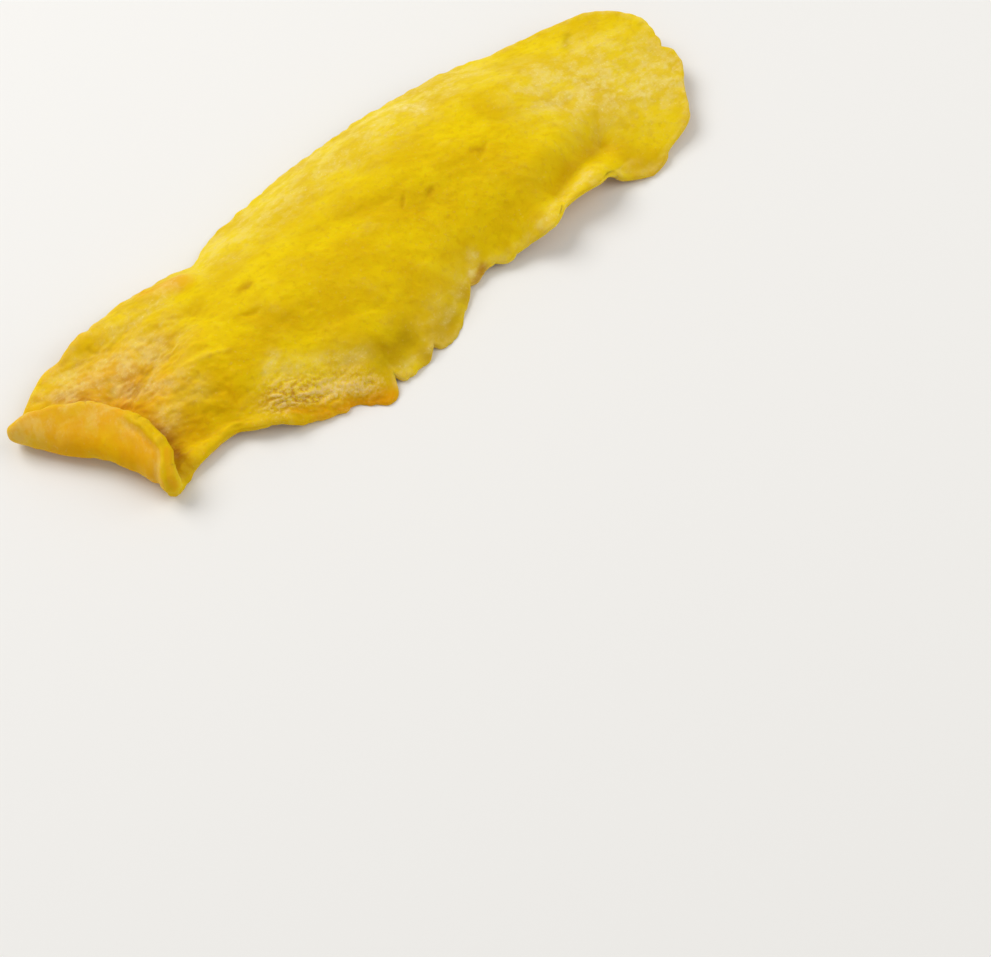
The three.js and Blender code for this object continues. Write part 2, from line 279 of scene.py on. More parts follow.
# What dried on the cut face: creases, pits and small ridges, with their half width and their rise
creaseWobble = {"long": 1.5, "high": 0.3}
creases = [
    # the middle of the slice
    {"from": (-9.5, 7.5), "to": (-3.4, 4.6), "reach": 1.9, "rise": -0.1},
    {"from": (-2.4, 4.8), "to": (4.2, 3.6), "reach": 1.1, "rise": -0.2},
    {"from": (-4.9, 2.8), "to": (-2.8, 2.1), "reach": 0.5, "rise": -0.1},
    {"from": (-5.9, 2.2), "to": (1.5, 0.2), "reach": 1.6, "rise": 0.14},
    {"from": (7.6, 0.7), "to": (9.6, 1.5), "reach": 0.7, "rise": -0.22},
    {"from": (5.0, 3.0), "to": (3.4, 1.2), "reach": 0.4, "rise": -0.22},
    {"from": (-24.3, 4.1), "to": (-22.1, 4.1), "reach": 0.9, "rise": -0.23},
    {"from": (-26.6, 0.6), "to": (-24.0, -0.6), "reach": 0.5, "rise": -0.29},
    {"from": (-19.6, -3.1), "to": (-17.0, -4.3), "reach": 0.5, "rise": -0.2},
    {"from": (-23.9, -3.1), "to": (-20.5, -4.2), "reach": 0.6, "rise": -0.13},
    {"from": (-10.5, -10.8), "to": (-6.4, -8.4), "reach": 1.1, "rise": -0.2},
    {"from": (-1.8, -7.8), "to": (-3.4, -9.8), "reach": 0.6, "rise": -0.13},
    {"from": (-0.4, 11.5), "to": (5.0, 8.9), "reach": 1.3, "rise": -0.2},
    {"from": (10.5, 11.8), "to": (16.7, 10.4), "reach": 1.3, "rise": -0.2},
    {"from": (17.7, 0.7), "to": (20.4, 2.3), "reach": 0.7, "rise": -0.26},
    {"from": (19.3, 3.0), "to": (22.5, 1.7), "reach": 0.5, "rise": -0.16},
    {"from": (31.6, 3.4), "to": (39.3, 2.6), "reach": 1.0, "rise": -0.2},
    # the narrow end
    {"from": (-38.3, -1.0), "to": (-30.7, -2.9), "reach": 0.45, "rise": 0.2},
    {"from": (-38.3, -0.1), "to": (-30.7, -2.0), "reach": 0.5, "rise": -0.16},
    {"from": (-41.7, -0.4), "to": (-39.2, -1.9), "reach": 0.5, "rise": 0.16},
    {"from": (-31.5, 5.2), "to": (-34.6, 7.2), "reach": 0.6, "rise": -0.2},
    {"from": (-34.2, 7.3), "to": (-37.6, 7.5), "reach": 0.6, "rise": -0.2},
    {"from": (-40.2, 3.1), "to": (-45.3, 1.0), "reach": 0.9, "rise": -0.29},
    {"from": (-44.8, 1.2), "to": (-49.4, -1.6), "reach": 1.1, "rise": -0.23},
    {"from": (-53.9, 6.1), "to": (-51.3, 7.0), "reach": 0.9, "rise": -0.26},
    {"from": (-25.8, -4.2), "to": (-26.4, -5.5), "reach": 0.4, "rise": -0.13},
    # beside the crust and along the near edge
    {"from": (-19.8, -13.4), "to": (-14.0, -14.5), "reach": 0.9, "rise": -0.29},
    {"from": (-14.4, -14.4), "to": (-8.0, -15.2), "reach": 1.7, "rise": -0.36},
    {"from": (-5.9, -16.7), "to": (-3.4, -17.0), "reach": 0.5, "rise": 0.2},
    {"from": (6.0, -14.0), "to": (8.8, -12.7), "reach": 0.5, "rise": -0.39},
    {"from": (6.8, -11.0), "to": (8.5, -9.8), "reach": 0.7, "rise": 0.13},
    # the broad end
    {"from": (45.4, 5.2), "to": (50.0, -0.3), "reach": 1.5, "rise": 0.2},
    {"from": (39.0, -0.1), "to": (44.1, -4.8), "reach": 1.7, "rise": 0.2},
    {"from": (43.7, -4.6), "to": (49.6, -8.3), "reach": 1.5, "rise": 0.16},
    {"from": (48.0, 5.7), "to": (54.0, 2.1), "reach": 1.2, "rise": 0.16},
    {"from": (39.8, -10.7), "to": (43.9, -12.8), "reach": 1.3, "rise": -0.2},
    {"from": (44.2, 11.6), "to": (46.7, 14.1), "reach": 0.7, "rise": -0.33},
]

crust = {
    "from": (-29, -13.0), "to": (-15.8, -19.2), "reach": 2.9, "rise": 1.0, "blunt": 0.5,
    "lumps": {"long": 2.6, "wide": 2.1, "high": 0.6},
    "threadSlant": 0.6,
    "threads": [
        {"long": 1.7, "wide": 1.1, "high": 0.34},
        {"long": 0.75, "wide": 0.6, "high": 0.22},
    ],
    "strands": [  # pale strands of torn fibre that stand proud of it
        {"from": (-26.6, -13.5), "to": (-16.6, -16.8), "reach": 0.7, "rise": 0.5},
        {"from": (-22.6, -15.4), "to": (-15.2, -19.0), "reach": 0.7, "rise": 0.35},
    ],
}

# Fibres run a little across the slice's length, more so towards the near edge
fibres = {
    "slant": 0.2,
    "fan": 0.006,
    "sway": {"long": 15, "wide": 9, "high": 1.3},
    "sizes": [
        {"long": 9, "wide": 1.5, "high": 0.018},
        {"long": 4, "wide": 0.8, "high": 0.013},
    ],
}
poreSlant = 0.3
pores = [  # the dimples and bumps that the flesh dried to, from shallow hollows down to pores
    {"long": 6.2, "wide": 4.8, "high": 0.17},
    {"long": 3.0, "wide": 2.3, "high": 0.1},
    {"long": 1.4, "wide": 1.2, "high": 0.075},
    {"long": 0.75, "wide": 0.65, "high": 0.05},
]
tailRough = {"from": -30, "to": -38, "more": 1.5}  # the narrow end shrank more, so it is rougher
rimLumps = {"long": 1.7, "wide": 1.7, "high": 0.24, "in": 1.6}  # of the thin rim, which cockled
puckers = [  # of the skin side, shrunk into wrinkles
    {"long": 5, "wide": 2.6, "high": 0.2},
    {"long": 2.2, "wide": 1.4, "high": 0.12},
    {"long": 1.1, "wide": 0.8, "high": 0.06},
]
rimBead = {  # part of the lip's rim and of the near rim beside it dried to a lumpy bead
    "in": 0.35, "reach": 0.8, "lumps": 1.1, "uneven": 0.9, "out": 0.45,
    "skin": (0.1, 0.5),  # how far round the rim it starts on the lip
    "lipHigh": 0.5, "lipFrom": -47, "lipTo": -44, "lipEnds": (-11.5, -8.5),
    "cornerEnds": (-16.8, -15.4),
    "nearHigh": 0.2, "nearFrom": (-49, -46), "nearTo": (-29, -24),
    "groove": 0.34, "grooveIn": 1.9, "grooveReach": 0.6, "grooveEnds": (-15.2, -13.6),
}
# The bay's rim is smooth: its lumps, and its waves that are shorter than below, in mm, are less
calmRim = {"below": 3, "less": 0.85, "start": (18, 22), "end": (38, 34)}
sidesApart = 5  # mm between the patterns of the cut face and of the skin side

# Tints of the flesh and painted shade, each from one point to another on the sheet, with the reach to
# either side and how strong it is there
tints = {
    "bloom": [  # sugar that came out as a cream film
        {"from": (-22, 15.0), "to": (28, 18.0), "reach": 5.2, "much": 0.42},
        {"from": (-22, 18.4), "to": (20, 21.6), "reach": 1.5, "much": 0.38},
        {"from": (15.0, 19.6), "to": (17.0, 14.6), "reach": 1.5, "much": 1.0},
        {"from": (10.4, 20.6), "to": (14.0, 19.8), "reach": 1.3, "much": 0.8},
        {"from": (-1.8, 21.8), "to": (3.4, 20.8), "reach": 1.2, "much": 0.6},
        {"from": (-44.1, 12.0), "to": (-33.8, 10.6), "reach": 1.4, "much": 0.45},
        {"from": (-53, 8.6), "to": (-38, 4.6), "reach": 3.8, "much": 0.5},
        {"from": (-46.6, 4.2), "to": (-38.6, -3.4), "reach": 2.0, "much": 0.45},
        {"from": (-34.4, 11.6), "to": (-30.0, 12.8), "reach": 1.6, "much": 0.35},
        {"from": (-45.0, -6.0), "to": (-42.0, -3.6), "reach": 1.6, "much": 0.4},
        {"from": (-28.9, -8.7), "to": (-26.7, -7.5), "reach": 1.0, "much": 0.55},
        {"from": (-26, -9.8), "to": (-16, -13.6), "reach": 1.5, "much": 0.4},
        {"from": (6.8, -11.0), "to": (8.5, -9.8), "reach": 0.9, "much": 1.0},
        {"from": (-6.0, -16.6), "to": (-3.2, -17.1), "reach": 0.6, "much": 0.8},
        {"from": (-4, -14.8), "to": (6, -11.0), "reach": 2.0, "much": 0.2},
        {"from": (19.8, -12.6), "to": (33.4, -9.6), "reach": 1.2, "much": 0.45},
        {"from": (-12.4, -18.6), "to": (-5.4, -17.8), "reach": 0.8, "much": 0.5},
        {"from": (-3.4, -16.8), "to": (5.0, -12.2), "reach": 0.8, "much": 0.4},
        {"from": (36, 6.0), "to": (54, -1.5), "reach": 6.5, "much": 0.7},
        {"from": (46, 8), "to": (56, 3), "reach": 5, "much": 0.45},
        {"from": (46.8, -1.6), "to": (50.8, -2.8), "reach": 1.1, "much": 0.95},
    ],
    "warm": [  # towards orange, where the skin side was near
        {"from": (-62, 2.0), "to": (-46, 2.0), "reach": 9.0, "much": 0.85},
        {"from": (-45, -8.0), "to": (-36, -8.0), "reach": 5.0, "much": 0.35},
        {"from": (-55, 11.6), "to": (-47, 14.4), "reach": 2.0, "much": 0.4},
        {"from": (-47, 14.4), "to": (-37.0, 16.6), "reach": 2.2, "much": 0.25},
        {"from": (-34.6, 14.6), "to": (-30.2, 12.6), "reach": 2.0, "much": 0.8},
        {"from": (-28.6, -15.9), "to": (-21.0, -18.2), "reach": 1.5, "much": 1.0},
        {"from": (-21.0, -18.2), "to": (-15.4, -21.2), "reach": 1.7, "much": 1.0},
    ],
    "amberAndShade": [  # deeper gold in patches, and painted shade in the bay's trough, along creases and valleys and over the middle
        {"from": (-24.5, -3.4), "to": (-13, -6.6), "reach": 3.2, "much": 0.5},
        {"from": (-9.5, 6.4), "to": (4, 3.4), "reach": 2.4, "much": 0.4},
        {"from": (-6, -3), "to": (4, -3), "reach": 6, "much": 0.4},
        {"from": (15, -0.8), "to": (11.6, -7.4), "reach": 3.6, "much": 0.45},
        {"from": (25.4, -8.5), "to": (37.4, -4.6), "reach": 1.8, "much": 0.8},
        {"from": (39.6, -10.6), "to": (44.4, -12.6), "reach": 1.9, "much": 0.7},
        {"from": (-42, -6.4), "to": (-37, -9.0), "reach": 2.4, "much": 0.4},
    ],
    "oliveShade": [  # painted olive shade, along the near edge and in a crease of the broad end
        {"from": (-14.0, -15.6), "to": (-8.4, -15.0), "reach": 2.2, "much": 0.8},
        {"from": (-6.4, -18.0), "to": (4.8, -13.4), "reach": 1.7, "much": 0.6},
        {"from": (5.6, -14.2), "to": (9.0, -12.6), "reach": 1.0, "much": 1.0},
        {"from": (44.6, 12.0), "to": (46.4, 13.8), "reach": 0.9, "much": 0.6},
    ],
    "creaseAndValleyShade": [  # painted brown shade, in the valley beside the lip and in creases
        {"from": (-46.1, -4.8), "to": (-45.6, -13.0), "reach": 1.6, "much": 0.95},
        {"from": (-45.4, 3.6), "to": (-43.6, 0.4), "reach": 1.1, "much": 0.45},
        {"from": (-43.6, 0.4), "to": (-47.6, -2.6), "reach": 1.6, "much": 0.45},
        {"from": (-54.6, 7.6), "to": (-51.6, 5.6), "reach": 1.0, "much": 0.7},
        {"from": (-24.1, 4.1), "to": (-22.3, 4.1), "reach": 0.7, "much": 0.5},
        {"from": (8.2, 0.9), "to": (9.2, 1.4), "reach": 0.6, "much": 0.4},
        {"from": (18.0, 2.6), "to": (19.2, 1.9), "reach": 0.6, "much": 0.4},
        {"from": (4.8, 2.7), "to": (3.5, 1.4), "reach": 0.4, "much": 0.3},
        {"from": (6.2, -12.6), "to": (9.0, -11.4), "reach": 0.6, "much": 0.8},
    ],
}

# How finely the mesh is made, with steps crowded at the curl and a coarser underside
meshSteps = {"along": 440, "curlSteps": 92, "curlShare": 0.12, "across": 160, "rim": 6, "coarser": 2}


def calmed(x):
    # How much of the fine waves and lumps the near rim has at a place
    return 1 - calmRim["less"] * fade(x, *calmRim["start"]) * fade(x, *calmRim["end"])


def plan(u, v):
    # Place on the flat sheet: u from the narrow end to the broad end, v from the near to the far edge
    def wave(place, rim, fine=1.0):
        total = 0.0
        for k, w in enumerate(sheet["rimWaves"]):
            high = w["high"] * (fine if w["long"] < calmRim["below"] else 1.0)
            total = total + high * noise(place / w["long"], seeds[rim] + seeds["nextWave"] * k)
        return total

    def scalloped(edge, place):
        return sum(
            s["out"] * np.exp(-(((place - s["at"]) / s["wide"]) ** 2)) for s in sheet["scallops"][edge]
        )

    def bulge(end, rim):
        rounded = 1 - np.abs(2 * v ** end["lean"] - 1) ** end["round"]
        return end["bulge"] * rounded + wave(v * sheet["width"], rim) * np.sin(np.pi * v)

    narrow, broad, power = sheet["narrowEnd"], sheet["broadEnd"], sheet["endPower"]
    near = narrow["near"] + (broad["near"] - narrow["near"]) * u
    far = narrow["far"] + (broad["far"] - narrow["far"]) * u
    place, inside = u * sheet["length"], np.sin(np.pi * u)
    nearOut = wave(place, "near", calmed(near)) * inside + scalloped("near", near)
    farOut = wave(place, "far") * inside + scalloped("far", far)
    nearY, farY = sheet["nearReach"](near) - nearOut, sheet["farReach"](far) + farOut
    y = nearY + (farY - nearY) * v
    broadOut = bulge(broad, "broad") + scalloped("broad", y)
    narrowOut = bulge(narrow, "narrow")
    x = near + (far - near) * v + broadOut * u ** power - narrowOut * (1 - u) ** power
    return x, y


def height(x, y):
    near, far = sheet["nearReach"](x), sheet["farReach"](x)
    across = (y - near) / (far - near)
    arch = 1 - (2 * across - 1) ** 2
    z = sheet["nearHeight"](x) * (1 - across) + sheet["farHeight"](x) * across
    z = z + sheet["archHeight"](x) * arch - sheet["settle"]
    for fold in sheet["folds"]:
        z = z + fold["rise"] * along(fold, x, y)
    sway = sheet["sway"]
    return z + sway["high"] * noise(x / sway["long"] + seeds["sway"], y / sway["wide"]) * arch


def layer(x, y):
    # The middle of the sheet as it lies, carried round the curl where it is beyond the line of it
    z = height(x, y)
    curl, curlBow = sheet["curl"], sheet["curlBow"]
    (ax, ay), (bx, by) = curl["from"], curl["to"]
    long = math.hypot(bx - ax, by - ay)
    outX, outY = (by - ay) / long, (ax - bx) / long
    share = np.clip(((x - ax) * (bx - ax) + (y - ay) * (by - ay)) / long ** 2, 0, 1)
    bow = np.sin(np.pi * share ** curlBow["lean"]) * curlBow["most"]
    beyond = np.maximum((x - ax) * outX + (y - ay) * outY + bow, 0)
    most = math.radians(curl["turn"])
    turn = np.minimum(beyond / curl["tight"], most)
    later = most + np.maximum(beyond - curl["tight"] * most, 0) / curl["loose"]
    reach = curl["tight"] * np.sin(turn) + curl["loose"] * (np.sin(later) - math.sin(most))
    rise = curl["tight"] * (1 - np.cos(turn)) + curl["loose"] * (math.cos(most) - np.cos(later))
    slide = reach - beyond
    return np.stack([x + slide * outX, y + slide * outY, z + rise], -1)


def unit(vectors):
    return vectors / np.maximum(np.linalg.norm(vectors, axis=-1, keepdims=True), 1e-12)


def fibrePlace(x, y):
    lean = fibres["slant"] - fibres["fan"] * y
    return x, y + lean * x + grain(fibres["sway"], x, y, seeds["fibreSway"])


def cutRelief(x, y):
    # Height of everything on the cut face, the crust's share, its threads and how hollow it is
    high = layered(grain, sheet["wrinkles"], x, y, seeds["wrinkles"])
    long = creaseWobble["long"]
    wobble = creaseWobble["high"] * noise(x / long + seeds["creases"], y / long)
    creased = sum(c["rise"] * wrinkle(c, x + wobble, y + wobble) for c in creases)
    fine = layered(ridged, fibres["sizes"], *fibrePlace(x, y), seeds["fibres"])
    fine = fine + layered(lumps, pores, x, y + poreSlant * x, seeds["pores"])
    fine = fine * (1 + tailRough["more"] * fade(x, tailRough["from"], tailRough["to"]))
    farthest = 60  # keeps the blunt end's curve within what a number can hold
    beyond = np.clip((x - crust["to"][0]) / crust["blunt"], -farthest, farthest)
    crusty = 1 / (1 + np.exp(beyond)) * along(crust, x, y)
    threads = layered(ridged, crust["threads"], x + crust["threadSlant"] * y, y, seeds["threads"])
    threads = threads + sum(s["rise"] * wrinkle(s, x, y + wobble) for s in crust["strands"])
    torn = crust["rise"] + grain(crust["lumps"], x, y, seeds["crustLumps"]) + threads
    return high + creased + fine + torn * crusty, crusty, threads, -(creased + fine)


def skinRelief(x, y):
    # Height of everything on the skin side, and how hollow it is
    high = layered(grain, sheet["skinWrinkles"], x, y, seeds["skinWrinkles"])
    fine = layered(lumps, puckers, x, y, seeds["puckers"])
    return high + fine, -fine


def beaded(x, y, v, rimDistance, upper):
    # Height of the rim's bead, and how much of it there is at a place
    lip = fade(1 - upper, *rimBead["skin"]) * fade(y, *rimBead["lipEnds"][::-1])
    lip = lip * fade(x, rimBead["lipTo"], rimBead["lipFrom"]) * fade(y, *rimBead["cornerEnds"])
    near = upper * (v < 0.5) * fade(x, *rimBead["nearFrom"]) * fade(x, *rimBead["nearTo"][::-1])
    ridge = np.exp(-(((rimDistance - rimBead["in"]) / rimBead["reach"]) ** 2))
    groove = np.exp(-(((rimDistance - rimBead["grooveIn"]) / rimBead["grooveReach"]) ** 2))
    size = rimBead["lumps"]
    lumpy = 1 + rimBead["uneven"] * softNoise(x / size, y / size, seeds["bead"])
    groove = groove * fade(y, *rimBead["grooveEnds"])
    high = lip * (rimBead["lipHigh"] * lumpy * ridge - rimBead["groove"] * groove)
    return high + near * rimBead["nearHigh"] * lumpy * ridge, (lip + near) * ridge


def crowded(share):
    # Where along the sheet each of its even steps lies, closer together at the curl
    split, start = meshSteps["curlSteps"] / meshSteps["along"], meshSteps["curlShare"]
    beyond = start + (share - split) / (1 - split) * (1 - start)
    return np.where(share < split, share / split * start, beyond)


def outOfRim(u, v):
    # Which way is out of the outline, in plan, at points of the rim
    step = 1e-3
    x0, y0 = plan(np.maximum(u - step, 0), v)
    x1, y1 = plan(np.minimum(u + step, 1), v)
    side = unit(np.stack([y1 - y0, x0 - x1], -1)) * ((1 - 2 * v) * ((v == 0) | (v == 1)))[..., None]
    x0, y0 = plan(u, np.maximum(v - step, 0))
    x1, y1 = plan(u, np.minimum(v + step, 1))
    end = unit(np.stack([y1 - y0, x0 - x1], -1)) * ((2 * u - 1) * ((u == 0) | (u == 1)))[..., None]
    return unit(side + end)


def slicePoints(u, v, tilt):
    # tilt is a quarter turn on the cut face, minus a quarter on the skin side, and between on the rim
    x, y = plan(u, v)
    step = 0.05
    lengthwise = unit(layer(x + step, y) - layer(x - step, y))
    crosswise = unit(layer(x, y + step) - layer(x, y - step))
    up = unit(np.cross(lengthwise, crosswise))
    fromEnds = np.minimum(u, 1 - u) * sheet["length"]
    fromEdges = np.minimum(v, 1 - v) * (sheet["farReach"](x) - sheet["nearReach"](x))
    rimDistance = np.minimum(fromEnds, fromEdges)
    full = 1 - np.exp(-((rimDistance / sheet["edgeTaper"]) ** 2))
    thin = sheet["edgeThickness"](x)
    thickness = thin + (sheet["fullThickness"](x) - thin) * full
    cut, crusty, threads, cutHollow = cutRelief(x, y)
    skin, skinHollow = skinRelief(x, y)
    share = sheet["rimRelief"] + (1 - sheet["rimRelief"]) * full
    top = np.sin(tilt)
    upper = (top + 1) / 2
    bead, ropy = beaded(x, y, v, rimDistance, upper)
    cockled = lumps(rimLumps, x, y, seeds["rimLumps"]) * upper
    cockled = cockled * np.exp(-rimDistance / rimLumps["in"]) * np.where(v < 0.5, calmed(x), 1)
    relief = (upper * cut - (1 - upper) * skin) * share + top * cockled
    points = layer(x, y) + up * (top * (thickness / 2 + bead) + relief)[..., None]
    outward = outOfRim(u, v)
    outward = unit(lengthwise * outward[..., :1] + crosswise * outward[..., 1:])
    out = thin / 2 + rimBead["out"] * bead
    points = points + outward * (np.cos(tilt) * out)[..., None]
    facts = {
        "sheetPlace": np.stack([x, y, sidesApart * (1 - upper)], -1),
        "fibrePlace": np.stack([*fibrePlace(x, y), sidesApart * (1 - upper)], -1),
        "rimDistance": rimDistance,
        "skinSide": 1 - upper,
        "crust": crusty * upper,
        "threads": threads,
        "bead": ropy,
        "hollow": upper * cutHollow + (1 - upper) * skinHollow,
    }
    for name, places in tints.items():
        spread = [place["much"] * along(place, x, y) for place in places]
        facts[name] = np.max(spread, axis=0) * upper
    return points, facts


def sliceMesh():
    nu, nv, rim, coarser = (meshSteps[name] for name in ("along", "across", "rim", "coarser"))
    quarter = math.pi / 2
    parts = []

    def grid(stepsU, stepsV, tilt):
        us, vs = crowded(np.arange(stepsU + 1) / stepsU), np.arange(stepsV + 1) / stepsV
        gridU, gridV = np.meshgrid(us, vs, indexing="ij")
        first = sum(p[0].reshape(-1, 3).shape[0] for p in parts)
        parts.append(slicePoints(gridU, gridV, np.full(gridU.shape, tilt)))
        return us, vs, first + np.arange(gridU.size).reshape(gridU.shape)

    def ringOf(stepsU, stepsV):
        # Once round the rim: near edge, broad end, far edge and back along the narrow end
        ring = [(i, 0) for i in range(stepsU)] + [(stepsU, j) for j in range(stepsV)]
        ring += [(i, stepsV) for i in range(stepsU, 0, -1)] + [(0, j) for j in range(stepsV, 0, -1)]
        return np.array(ring).T

    us, vs, top = grid(nu, nv, quarter)
    under = grid(nu // coarser, nv // coarser, -quarter)[2]
    ringI, ringJ = ringOf(nu, nv)
    tilts = quarter - math.pi * np.arange(1, rim) / rim
    ringU, tiltGrid = np.meshgrid(us[ringI], tilts, indexing="ij")
    ringV = np.repeat(vs[ringJ][:, None], rim - 1, axis=1)
    between = top.size + under.size + np.arange(ringU.size).reshape(ringU.shape)
    parts.append(slicePoints(ringU, ringV, tiltGrid))

    a, b, c, d = top[:-1, :-1], top[1:, :-1], top[1:, 1:], top[:-1, 1:]
    faces = np.stack([a, b, c, d], -1).reshape(-1, 4).tolist()
    a, b, c, d = under[:-1, :-1], under[1:, :-1], under[1:, 1:], under[:-1, 1:]
    faces += np.stack([a, d, c, b], -1).reshape(-1, 4).tolist()
    rows = np.concatenate([top[ringI, ringJ][:, None], between], axis=1)
    after = np.roll(rows, -1, axis=0)
    a, b, c, d = rows[:, :-1], rows[:, 1:], after[:, 1:], after[:, :-1]
    faces += np.stack([a, b, c, d], -1).reshape(-1, 4).tolist()
    # The last row meets the coarser underside, with one of its points for each few of the rim's
    lowI, lowJ = ringOf(nu // coarser, nv // coarser)
    low = under[lowI, lowJ]
    last = np.append(rows[:, -1], rows[0, -1])
    for k, corner in enumerate(low):
        upperRow = last[k * coarser:(k + 1) * coarser + 1][::-1].tolist()
        faces.append([int(corner), int(low[(k + 1) % len(low)]), *upperRow])

    points = np.concatenate([p.reshape(-1, 3) for p, _ in parts])
    facts = {
        name: np.concatenate([f[name].reshape((-1,) + f[name].shape[2:]) for _, f in parts])
        for name in parts[0][1]
    }
    return points, faces, facts


def meshObject(name, points, faces, facts):
    mesh = bpy.data.meshes.new(name)
    mesh.from_pydata((points * millimetre).tolist(), [], faces)
    mesh.update()
    for fact, values in facts.items():
        kind, field = ("FLOAT_VECTOR", "vector") if values.ndim == 2 else ("FLOAT", "value")
        attribute = mesh.attributes.new(fact, kind, "POINT")
        attribute.data.foreach_set(field, values.astype(np.float32).ravel())
    mesh.shade_smooth()
    piece = bpy.data.objects.new(name, mesh)
    bpy.context.scene.collection.objects.link(piece)
    return piece


points, faces, facts = sliceMesh()
nodeLow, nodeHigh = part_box("mango_slice")
points[:, 2] = np.clip(points[:, 2], 0, nodeHigh.z / millimetre)
middle = (points.min(0) + points.max(0)) / 2
points[:, 0] += (nodeLow.x + nodeHigh.x) / 2 / millimetre - middle[0]
points[:, 1] += (nodeLow.y + nodeHigh.y) / 2 / millimetre - middle[1]
slicePiece = meshObject("mangoSliceFlesh", points, faces, facts)
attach(slicePiece, "root")
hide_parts("mango_slice")
print("Slice mesh:", len(points), "points,", sum(len(face) - 2 for face in faces), "triangles")


def colour(hexCode):
    # sRGB hex to the linear values that the shaders take
    channels = [int(hexCode[k:k + 2], 16) / 255 for k in (1, 3, 5)]
    linear = [c / 12.92 if c <= 0.04045 else ((c + 0.055) / 1.055) ** 2.4 for c in channels]
    return (*linear, 1.0)


def feed(tree, value, socket):
    # Gives a socket its value, which is another node's result or a plain one
    if isinstance(value, bpy.types.NodeSocket):
        tree.links.new(value, socket)
    else:
        socket.default_value = value


def addNode(tree, kind, settings=None, inputs=None):
    node = tree.nodes.new(kind)
    for name, value in (settings or {}).items():
        setattr(node, name, value)
    for name, value in (inputs or {}).items():
        feed(tree, value, node.inputs[name])
    return node


# Dried mango flesh: cut, then dried on a tray. The eye gets a translucent golden-yellow body, deeper
# where it is thick, with painted shade in hollows, a cream sugar bloom on proud parts and hardly any
# gloss.
flesh = {
    "colours": {
        "gold": "#E0BB00",
        "lemon": "#EBCC00",
        "amberAndShade": "#D2A600",
        # deeper gold; it is also the colour of the painted shade in troughs, creases and hollows
        "orange": "#E6A200",
        "oliveShade": "#BA9400",
        # painted shade along the near edge and in a crease of the broad end
        "shadeBrownColour": "#B27400",
        # painted shade in the valley beside the lip and in creases
        "cream": "#F1DC86",
        "blush": "#EBC27A",
        "thread": "#EDC684",
        # gap is painted shade in the grooves between the crust's threads
        "gap": "#CC9030",
    },
    "patterns": {  # sizes in mm, along the fibres first where they go with them
        "clouds": {"place": "fibrePlace", "size": (9.0, 7.0, 7.0), "detail": 3.0, "rough": 0.5},
        "mottles": {"place": "sheetPlace", "size": (3.6, 3.0, 3.0), "detail": 4.0, "rough": 0.6},
        "streaks": {"place": "fibrePlace", "size": (4.5, 0.8, 2.0), "detail": 3.0, "rough": 0.6},
        "film": {"place": "sheetPlace", "size": (3.2, 2.2, 2.2), "detail": 5.0, "rough": 0.62},
        "frost": {"place": "sheetPlace", "size": (1.0, 0.9, 0.9), "detail": 3.0, "rough": 0.6},
        "grit": {"place": "sheetPlace", "size": (0.5, 0.45, 0.45), "detail": 2.0, "rough": 0.6},
    },
    "roughness": 0.6,
    "bloomRoughness": 0.85,
    "ior": 1.48,
    "gloss": 0.06,
    "glow": 0.6,
    "glowDepth": 0.6,  # mm that light goes through the flesh
    "glowReach": (1.0, 0.74, 0.12),  # how far of that its red, green and blue go
    "bump": 0.1,  # mm
    "bumpGrit": 0.5,
    "bumpFrost": 0.4,
    "fleckShare": 0.4,
    "bareBloom": (0.1, 0.6, 1.0, 0.15),  # where the flesh is bare of sugar, as a mask's numbers
}

# What each mask is made from, where in it the mask starts and ends, and how strong it is there
masks = {
    "patchy": ("film", 0.4, 0.6, 0.2, 1.0),
    "rimPale": ("rimDistance", 1.6, 0.0, 0.0, 0.3),
    "rimNotWarm": ("warm", 0.1, 0.7, 1.0, 0.0),
    "lipPale": ("rimDistance", 6.5, 1.0, 0.0, 0.35),
    "proud": ("hollow", 0.05, -0.3, 0.0, 0.1),
    "proudFilm": ("film", 0.42, 0.66, 0.0, 1.0),
    "frosted": ("frost", 0.38, 0.6, 0.6, 1.0),
    "grains": ("grit", 0.6, 0.7, 0.0, 1.0),
    "grainsInFilm": ("film", 0.4, 0.62, 0.1, 0.75),
    "grainsInBloom": ("bloom", 0.0, 0.6, 0.2, 1.0),
    "skinWarm": ("skinSide", 0.6, 0.95, 0.0, 0.8),
    "warmMottles": ("mottles", 0.3, 0.6, 0.6, 1.0),
    "tornNotWarm": ("warm", 0.1, 0.8, 1.0, 0.1),
    "flecks": ("grit", 0.46, 0.6, 0.0, 1.0),
    "crumbs": ("grit", 0.4, 0.58, 0.4, 1.0),
    "lemonClouds": ("clouds", 0.36, 0.64, 0.0, 1.0),
    "amberMottles": ("mottles", 0.5, 0.7, 0.0, 0.32),
    "amberStreaks": ("streaks", 0.56, 0.72, 0.0, 0.07),
    "amberFrost": ("frost", 0.52, 0.66, 0.0, 0.35),
    "amberClouds": ("clouds", 0.7, 0.3, 0.5, 1.0),
    # painted shade: deeper amber in the creases and pores
    "amberShadeInHollows": ("hollow", 0.08, 0.5, 0.0, 0.7),
    # breaks up the painted olive shade
    "oliveShadeMottles": ("mottles", 0.3, 0.6, 0.5, 1.0),
    # breaks up the painted brown shade
    "shadeBrownMottles": ("mottles", 0.3, 0.6, 0.6, 1.0),
    # painted shade where the crust's threads are low
    "threadGapShade": ("threads", 0.1, -0.2, 0.0, 0.85),
    "threads": ("threads", -0.05, 0.3, 0.0, 0.9),
    "bead": ("bead", 0.2, 0.8, 0.0, 0.75),
    "gritty": ("crust", 0.2, 0.8, 0.3, 1.0),
}


